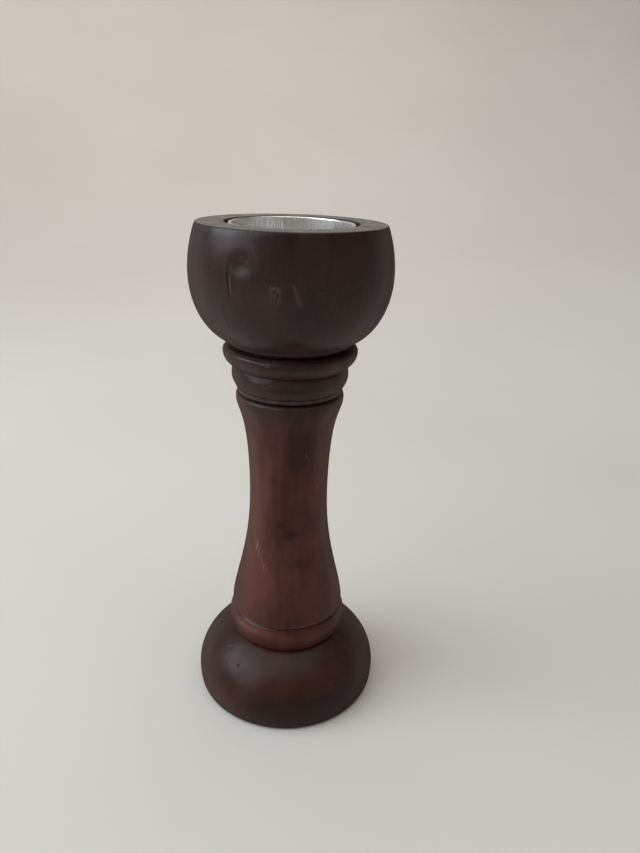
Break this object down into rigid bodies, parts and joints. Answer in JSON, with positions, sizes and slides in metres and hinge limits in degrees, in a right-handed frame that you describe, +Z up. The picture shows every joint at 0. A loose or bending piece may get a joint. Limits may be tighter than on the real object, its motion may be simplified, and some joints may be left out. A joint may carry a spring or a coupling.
{
  "type": "candle holder",
  "caption": "Turned wooden pillar candle holder: domed base, waisted column with a beaded neck, and a round bowl with a socket that holds a loose metal candle cup.",
  "frame": {"origin": "centre of the underside of the felt pad, on the surface that the holder stands on", "axes": "+Z up along the turning axis, towards the candle cup; -Y faces the viewer in the picture"},
  "size_m": [0.1, 0.1, 0.254],
  "materials": {
    "bowl_wood": "dark stain, satin lacquer",
    "column_wood": "dark stain, satin lacquer",
    "base_wood": "dark stain, satin lacquer",
    "cup_metal": "bright drawn sheet",
    "zinc_steel": "zinc plated",
    "felt": "felt"
  },
  "bodies": {
    "holder": {"felt_pad": "felt", "base": "base_wood", "base_screw": "zinc_steel", "base_screw_washer": "zinc_steel", "column": "column_wood", "bowl": "bowl_wood", "bowl_screw": "zinc_steel", "bowl_screw_washer": "zinc_steel"},
    "cup": {"candle_cup": "cup_metal"}
  },
  "joints": [
    {"name": "cup_lift", "type": "slide", "parent": "holder", "child": "cup", "axis": [0, 0, 1], "range_m": [0, 0.05]}
  ]
}
